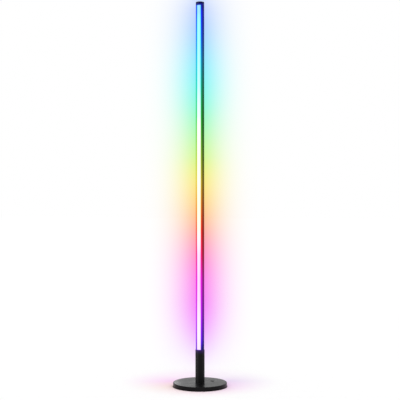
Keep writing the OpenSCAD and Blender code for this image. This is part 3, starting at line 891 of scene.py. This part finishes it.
def strip_board():
    white = (0.8, 0.8, 0.82)
    copper = (0.8, 0.45, 0.2)
    material, tree, surface = finish("white_strip_with_pads", white, 0.5, shine=0.4)
    x, _, height = split(tree, lamp_metres(tree))
    in_pitch = between(tree, saw(tree, height, CHIP_PITCH), *PAD_UP)
    row = saw(tree, sums(tree, "ADD", x, STRIP_HALF), PAD_PITCH)
    pad = sums(tree, "MULTIPLY", in_pitch, between(tree, row, *PAD_ACROSS))
    join(tree, blend(tree, pad, white, copper), surface.inputs["Base Color"])
    weave = grain(tree, 0.8 * MM, 2.0)
    relief(tree, surface, sums(tree, "ADD", pad, weave), depth=0.03 * MM, strength=0.5)
    return material


dress(strip_board(), "led_board")

# %% Light chips
WINDOW_HALF = 1.8 * MM


def light_chip():
    """A white frame round a glowing window, which has the colour of its height."""
    material, tree, surface = finish("light_chip", (0.9, 0.9, 0.86), 0.25)
    x, _, height = split(tree, lamp_metres(tree))
    window = sums(tree, "LESS_THAN", sums(tree, "ABSOLUTE", x), WINDOW_HALF)
    glow = blend(tree, window, (0.3, 0.3, 0.3), rainbow(tree, height))
    join(tree, glow, surface.inputs["Emission Color"])
    surface.inputs["Emission Strength"].default_value = 1.0
    relief(tree, surface, grain(tree, 0.5 * MM, 2.0), depth=0.02 * MM, strength=0.3)
    return material


dress(light_chip(), "led_chips")

# %% [markdown]
# ## What the base holds
# Under the cover lie a green circuit board with its parts, a push switch and two leads.
# Nobody sees them until the base is opened, but each still has its own finish: copper tracks
# that show through the green lacquer, milky nylon plugs, soft cable jackets and black
# moulded packages. The tracks are lanes of a saw wave, bent a little by soft noise.

# %% Circuit board
TRACK_PITCH = 2.1 * MM
TRACK_BEND = 4 * MM
TRACK_SPAN = (0.3, 0.65)  # shares of the pitch


def green_board():
    material, tree, surface = finish("green_lacquered_board", (0.02, 0.13, 0.05), 0.3)
    x, _, _ = split(tree, lamp_metres(tree))
    bend = sums(tree, "MULTIPLY", grain(tree, 20 * MM, 0.0), TRACK_BEND)
    track = between(tree, saw(tree, sums(tree, "ADD", x, bend), TRACK_PITCH), *TRACK_SPAN)
    lacquer = blend(tree, track, (0.012, 0.09, 0.035), (0.035, 0.2, 0.07))
    join(tree, lacquer, surface.inputs["Base Color"])
    relief(tree, surface, track, depth=0.04 * MM, strength=0.6)
    return material


dress(green_board(), "control_board")
packages = moulded("black_component_packages", (0.02, 0.02, 0.022), 0.5, 0.15 * MM)
dress(packages, "board_components")


# %% Leads and plugs
def soft_jacket():
    """Cable jacket: soft, slightly dusty, with the faint waves of the wires inside."""
    material, tree, surface = finish("soft_black_jacket", (0.016, 0.016, 0.017), 0.55, 0.35)
    relief(tree, surface, grain(tree, 3 * MM, 2.0), depth=0.1 * MM, strength=0.5)
    vary_gloss(tree, surface, grain(tree, 2 * MM, 4.0), 0.48, 0.64)
    return material


def milky(name, colour):
    """A plastic that lets light a little way in, such as nylon or acetal."""
    material, tree, surface = finish(name, colour, 0.45, 0.4)
    surface.inputs["Subsurface Weight"].default_value = 0.25
    surface.inputs["Subsurface Scale"].default_value = 2 * MM
    relief(tree, surface, grain(tree, 0.4 * MM, 2.0), depth=0.01 * MM, strength=0.4)
    tint(tree, surface, grain(tree, 3 * MM, 2.0), tuple(c * 0.9 for c in colour), colour)
    return material


dress(soft_jacket(), "led_lead", "power_lead")
dress(milky("milky_nylon", (0.78, 0.74, 0.64)), "led_socket", "led_plug")
dress(milky("ivory_acetal", (0.72, 0.68, 0.55)), "switch_plunger")

# %% [markdown]
# ## Turned pieces
# A button, a bezel, a screw head: each is round, so one half profile spun about an axis
# gives its shape. `spun` takes the profile as rings, each a radius and a height. Either may
# also be a rule that depends on the angle, and that is how a hexagon socket is sunk in a
# round head with no cutting: its rings are six-sided while the rings outside it are circles.
# A solid is shut by a small flat face at each end. A closed profile makes a ring instead.

# %% Spin a profile
STEPS_ROUND = 96
CREASE = 35


def strip_faces(lower, upper):
    """The four-sided faces between two rings of points, each given by its first point."""
    pairs = [(k, (k + 1) % STEPS_ROUND) for k in range(STEPS_ROUND)]
    return [(lower + k, lower + n, upper + n, upper + k) for k, n in pairs]


def spun(name, rings, material, body, place=Matrix(), crease=CREASE, closed=False):
    """A solid spun about its own upright axis, then put in place. It rides on a body.
    Edges that turn by more than the crease, in degrees, stay sharp."""
    points = []
    for radius, height in rings:
        for k in range(STEPS_ROUND):
            angle = math.tau * k / STEPS_ROUND
            reach = radius(angle) if callable(radius) else radius
            rise = height(angle) if callable(height) else height
            spot = Vector((reach * math.cos(angle), reach * math.sin(angle), rise))
            points.append(place @ spot)
    starts = list(range(0, len(points), STEPS_ROUND))
    ends = [tuple(reversed(range(STEPS_ROUND))), tuple(range(starts[-1], len(points)))]
    if closed:
        starts.append(0)
        ends.clear()
    faces = []
    for lower, upper in zip(starts, starts[1:]):
        faces += strip_faces(lower, upper)
    mesh = bpy.data.meshes.new(name)
    mesh.from_pydata(points, [], faces + ends)
    mesh.materials.append(material)
    mesh.shade_smooth()
    mesh.set_sharp_from_angle(angle=math.radians(crease))
    piece = bpy.data.objects.new(name, mesh)
    bpy.context.scene.collection.objects.link(piece)
    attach(piece, body)
    return piece


# %% [markdown]
# ## The button and its bezel
# A thumb finds the button by a shallow dish in its top, and every edge that a thumb can
# reach is rounded. The bezel is the thin glossy ring round it. Both are spun again here
# inside their solids' boxes, with the dish and the soft edges that plain solids lack.

# %% Button
BUTTON_DISH = 0.3 * MM
BUTTON_EDGE = 0.4 * MM
BUTTON_WALL = 1.5 * MM
BUTTON_ROOF = 1.7 * MM
BUTTON_FLANGE = 1 * MM
INSIDE_BEZEL = 1.5 * MM  # from the bezel's outside to the button
DISH_RINGS = (0.85, 0.7, 0.55, 0.4, 0.25, 0.1, 0.01)  # shares of the radius


def corner(radius, height, size, start, end, steps=5):
    """Rings along a quarter-round edge about a centre, between two angles in degrees."""
    turns = [math.radians(start + (end - start) * i / steps) for i in range(steps + 1)]
    return [(radius + size * math.cos(t), height + size * math.sin(t)) for t in turns]


def upright_at(node):
    """The move to a node's upright middle line, and the node's box."""
    low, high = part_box(node)
    middle = (low + high) / 2
    return Matrix.Translation((middle.x, middle.y, 0)), low, high


def make_button():
    place, low, high = upright_at("button_cap")
    bezel_low, bezel_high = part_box("button_bezel")
    radius = (bezel_high.x - bezel_low.x) / 2 - INSIDE_BEZEL
    flange = (high.x - low.x) / 2
    top, foot = high.z, low.z
    shoulder = foot + BUTTON_FLANGE
    hollow, roof = radius - BUTTON_WALL, top - BUTTON_ROOF
    rings = [(0.1 * MM, roof), (hollow, roof), (hollow, foot)]
    rings += [(flange, foot), (flange, shoulder), (radius, shoulder)]
    rings += corner(radius - BUTTON_EDGE, top - BUTTON_EDGE, BUTTON_EDGE, 0, 90)
    for share in DISH_RINGS:
        sunk = BUTTON_DISH * math.cos(share * math.pi / 2) ** 2
        rings.append((radius * share, top - sunk))
    cap = spun("button_cap_dished", rings, button_plastic, "button", place)
    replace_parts(cap, "button_cap")
    print("button", round(2 * radius / MM, 2), "mm across, top at", round(top / MM, 2), "mm")


make_button()

# %% Bezel
BEZEL_LIP = 0.6 * MM
BEZEL_WALL = 0.6 * MM
BEZEL_EDGE = 0.25 * MM


def make_bezel():
    place, low, high = upright_at("button_bezel")
    cover_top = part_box("base_cover")[1].z
    outside = (high.x - low.x) / 2
    neck = outside - BEZEL_LIP
    bore = neck - BEZEL_WALL
    edge_height = high.z - BEZEL_EDGE
    rings = [(bore, low.z), (neck, low.z), (neck, cover_top), (outside, cover_top)]
    rings += corner(outside - BEZEL_EDGE, edge_height, BEZEL_EDGE, 0, 90)
    rings += corner(bore + BEZEL_EDGE, edge_height, BEZEL_EDGE, 90, 180)
    ring = spun("button_bezel_ring", rings, bezel_plastic, "lamp", place, closed=True)
    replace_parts(ring, "button_bezel")
    print("bezel", round(2 * outside / MM, 2), "mm across, spun in", len(rings), "rings")


make_bezel()

# %% [markdown]
# ## Socket screws
# Two screws hold the pole in the stem, and eight hold its joints, all from behind. Each has
# a low domed head with a hexagon socket, in black oxide: a dark skin that rubs a little
# brown and shiny on the dome. The faces inside the socket are painted darker, as painted
# shade in the hollow; they take the screw's second material.


# %% Black oxide
def black_oxide(name, dark, pale):
    material, tree, surface = finish(name, pale, 0.34, metal=0.8)
    tint(tree, surface, grain(tree, 1.5 * MM, 4.0), dark, pale)
    vary_gloss(tree, surface, grain(tree, 0.8 * MM, 3.0), 0.26, 0.42)
    relief(tree, surface, grain(tree, 0.2 * MM, 2.0), depth=0.01 * MM, strength=0.4)
    return material


oxide = black_oxide("black_oxide_steel", (0.02, 0.02, 0.021), (0.05, 0.042, 0.036))
# painted shade for the socket's hollow, darker than the head
socket_painted_shade = black_oxide("black_oxide_painted_shade_in_socket", (0.001, 0.001, 0.001), (0.004, 0.003, 0.003))
print("mixed", oxide.name, "and", socket_painted_shade.name)


# %% Find the screws in their solids
def boxes_up_the_pole(node, gap=8 * MM):
    """A node of several like solids, one above the other: the box of each, from the bottom."""
    points = sorted((v.co.copy() for v in nodes[node].data.vertices), key=lambda p: p.z)
    groups = [[points[0]]]
    for before, point in zip(points, points[1:]):
        if point.z - before.z > gap:
            groups.append([])
        groups[-1].append(point)
    boxes = []
    for group in groups:
        low = Vector([min(p[i] for p in group) for i in range(3)])
        high = Vector([max(p[i] for p in group) for i in range(3)])
        boxes.append((low, high))
    return boxes


# %% Shape a screw
SHANK_RADIUS = 2 * MM
SHANK_END = 0.4 * MM  # the chamfer at its tip
HEAD_RIM = 0.4 * MM
DOME_STEPS = 8
DOME_TOP = 0.56  # the dome's flat top, as a share of the head's radius
KEY_HALF = 1.25 * MM
KEY_DEPTH = 0.62  # as a share of the head's height
KEY_EDGE = 0.1 * MM


def hexagon(half_flat):
    """The radius of a hexagon at an angle, from the middle to its edge."""
    sixth = math.pi / 3
    return lambda angle: half_flat / math.cos(angle % sixth - sixth / 2)


def screw_rings(head, head_height, length_below):
    """The profile of a button-head screw, from its tip up the shank, then into the socket."""
    rings = [(0.2 * MM, -length_below), (SHANK_RADIUS - SHANK_END, -length_below)]
    rings += [(SHANK_RADIUS, SHANK_END - length_below), (SHANK_RADIUS, 0)]
    rings += [(head - 0.1 * MM, 0), (head, 0.15 * MM)]
    rise = head_height - HEAD_RIM
    for i in range(1, DOME_STEPS + 1):
        turn = i / DOME_STEPS * math.pi / 2
        reach = head * DOME_TOP + head * (1 - DOME_TOP) * math.cos(turn)
        rings.append((reach, HEAD_RIM + rise * math.sin(turn)))
    floor = head_height * (1 - KEY_DEPTH)
    key = hexagon(KEY_HALF)
    rings += [(hexagon(KEY_HALF + KEY_EDGE), head_height), (key, head_height - KEY_EDGE)]
    rings += [(key, floor), (0.3 * MM, floor - 0.3 * MM)]
    return rings


# %% Screws in the stem and in the pole's joints
IN_SOCKET = 2 * STEPS_ROUND + 2  # the socket's wall, its floor and the two end faces


def socket_screw(name, low, high, head_height):
    """A button-head screw that points forward: its head is at the high end of Y."""
    head = (high.x - low.x) / 2
    rings = screw_rings(head, head_height, high.y - low.y - head_height)
    middle = (low + high) / 2
    upright_to_rear = Matrix.Rotation(math.radians(-90), 4, "X")
    place = Matrix.Translation((middle.x, high.y - head_height, middle.z)) @ upright_to_rear
    screw = spun(name, rings, oxide, "lamp", place)
    # the socket's faces take the painted shade
    screw.data.materials.append(socket_painted_shade)
    for face in screw.data.polygons[-IN_SOCKET:]:
        face.material_index = 1
    return screw


def remake_screws(node, head_height):
    for i, (low, high) in enumerate(boxes_up_the_pole(node), 1):
        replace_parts(socket_screw(f"{node}_{i}", low, high, head_height), node)
        print(node, i, "at", round((low.z + high.z) / 2 / MM, 1), "mm up")


remake_screws("stem_screws", head_height=2.2 * MM)
remake_screws("joint_screws", head_height=1.6 * MM)

# %% [markdown]
# ## The stem bolt
# Turn the lamp over and a hexagon bolt shows in the middle of its foam ring. Its
# corners are turned off by a cone at thirty degrees, which leaves a round face and an arc on
# each of the six sides. One ring draws all six arcs, because its height is a rule: the
# further out the hexagon is at an angle, the later the cone meets it.

# %% Bolt
BOLT_HEAD = 5.3 * MM
BOLT_SHANK = 4 * MM
BOLT_CONE = math.tan(math.radians(30))
ROUND_FACE = 0.95  # as a share of the half width across the flats
DIMPLE_DEPTH = 0.3 * MM
DIMPLE_FLOOR, DIMPLE_RIM = 3 * MM, 3.4 * MM  # radii
THREAD_PITCH = 1.25 * MM
THREAD_DEPTH = 0.5 * MM
PLAIN_TIP = 2 * MM
TIP_CHAMFER = 0.8 * MM
BOLT_CREASE = 25  # less than the cone's 30 degrees, so its edges stay sharp


def thread_rings(start, end):
    """Up and down between a thread's crest and its root, once in each pitch."""
    rings = []
    height = start
    while height < end:
        rings.append((BOLT_SHANK, height + THREAD_PITCH * 0.25))
        rings.append((BOLT_SHANK - THREAD_DEPTH, height + THREAD_PITCH * 0.75))
        height += THREAD_PITCH
    return rings


def make_bolt():
    low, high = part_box("stem_bolt")
    half_flat = (high.y - low.y) / 2
    head_top = low.z + BOLT_HEAD
    face = half_flat * ROUND_FACE
    side = hexagon(half_flat)

    def arcs(angle):
        """Where the cone that starts at the round face meets the hexagon's sides."""
        return low.z + (side(angle) - face) * BOLT_CONE

    rings = [(0.2 * MM, low.z + DIMPLE_DEPTH), (DIMPLE_FLOOR, low.z + DIMPLE_DEPTH)]
    rings += [(DIMPLE_RIM, low.z), (face, low.z), (side, arcs), (side, head_top)]
    rings += [(BOLT_SHANK, head_top)]
    rings += thread_rings(head_top, high.z - PLAIN_TIP)
    rings += [(BOLT_SHANK, high.z - TIP_CHAMFER), (BOLT_SHANK - TIP_CHAMFER, high.z)]
    rings += [(0.2 * MM, high.z)]
    bolt = spun("stem_bolt_hexagon", rings, zinc, "lamp", crease=BOLT_CREASE)
    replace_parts(bolt, "stem_bolt")
    print("bolt", round(2 * half_flat / MM, 1), "mm across its flats, in", len(rings), "rings")


make_bolt()
